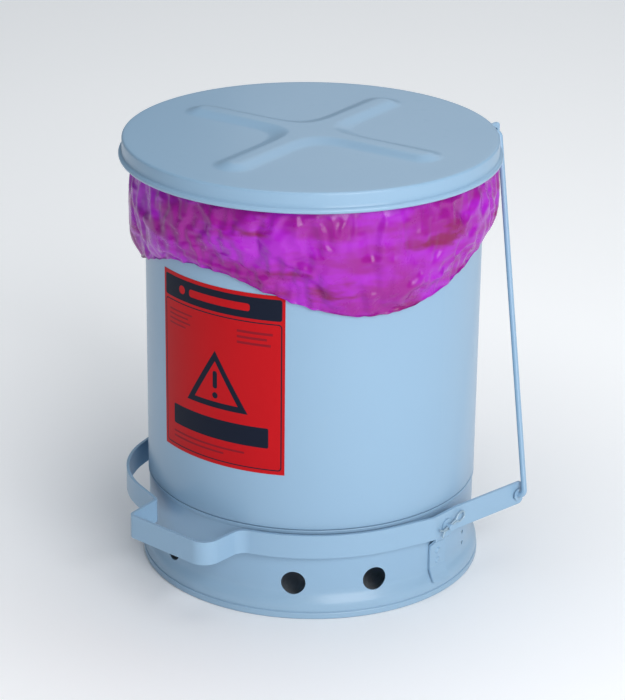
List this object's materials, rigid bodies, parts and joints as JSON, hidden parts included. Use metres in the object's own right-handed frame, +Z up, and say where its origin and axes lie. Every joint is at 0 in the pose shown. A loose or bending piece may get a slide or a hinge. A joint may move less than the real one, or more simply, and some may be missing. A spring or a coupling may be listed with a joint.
{
  "type": "foot-operated waste can",
  "caption": "Round steel waste can on a vented base, with a bag liner folded over its rim and a hinged lid that a wrap-round foot pedal lifts through a side rod.",
  "frame": {"origin": "centre of the rolled base rim's underside, on the can's axis", "axes": "+Z up along the can's axis, -Y towards the foot pedal at the front, +Y towards the lid hinge, +X towards the lift rod's side"},
  "size_m": [0.4107, 0.431, 0.4688],
  "materials": {
    "painted_steel": "smooth semi-gloss pale blue powder coat on formed sheet steel",
    "plated_wire": "plated wire with a thin coat of the can's paint",
    "liner_film": "thin shiny magenta polyethylene film with many fine creases",
    "label_film": "printed red vinyl label with a dark band and plain dark warning shapes"
  },
  "bodies": {
    "can": {"body_shell": "painted_steel", "body_bottom": "painted_steel", "base_skirt": "painted_steel", "front_label": "label_film", "liner_bag": "liner_film", "hinge_body_leaf": "painted_steel", "hinge_pin": "painted_steel", "hinge_body_rivets": "painted_steel", "right_pivot_bracket": "painted_steel", "left_pivot_bracket": "painted_steel", "pivot_bracket_rivets": "painted_steel", "right_pivot_pin": "painted_steel", "left_pivot_pin": "painted_steel", "right_pivot_washer": "painted_steel", "left_pivot_washer": "painted_steel", "right_cotter_pin": "plated_wire", "left_cotter_pin": "plated_wire"},
    "pedal": {"pedal_strap": "painted_steel"},
    "rod": {"lift_rod": "painted_steel", "rod_foot_washer": "painted_steel", "rod_foot_nut": "painted_steel", "rod_head_nut": "painted_steel"},
    "lid": {"lid_shell": "painted_steel", "lid_link_ear": "painted_steel", "link_ear_rivets": "painted_steel", "hinge_lid_leaf": "painted_steel", "hinge_lid_rivets": "painted_steel"}
  },
  "joints": [
    {"name": "pedal_pivot", "type": "hinge", "parent": "can", "child": "pedal", "pos_m": [0, 0, 0.0805], "axis": [1, 0, 0], "range_deg": [0, 12]},
    {"name": "lid_hinge", "type": "hinge", "parent": "can", "child": "lid", "pos_m": [0, 0.2, 0.4525], "axis": [-1, 0, 0], "range_deg": [0, 55]},
    {"name": "rod_pivot", "type": "hinge", "parent": "pedal", "child": "rod", "pos_m": [0.19, 0.107, 0.083], "axis": [1, 0, 0], "range_deg": [-13.2, 0]}
  ],
  "couplings": [
    {"joint": "lid_hinge", "follows": "pedal_pivot", "ratio": 4.5602},
    {"joint": "rod_pivot", "follows": "pedal_pivot", "ratio": -1.0916}
  ]
}
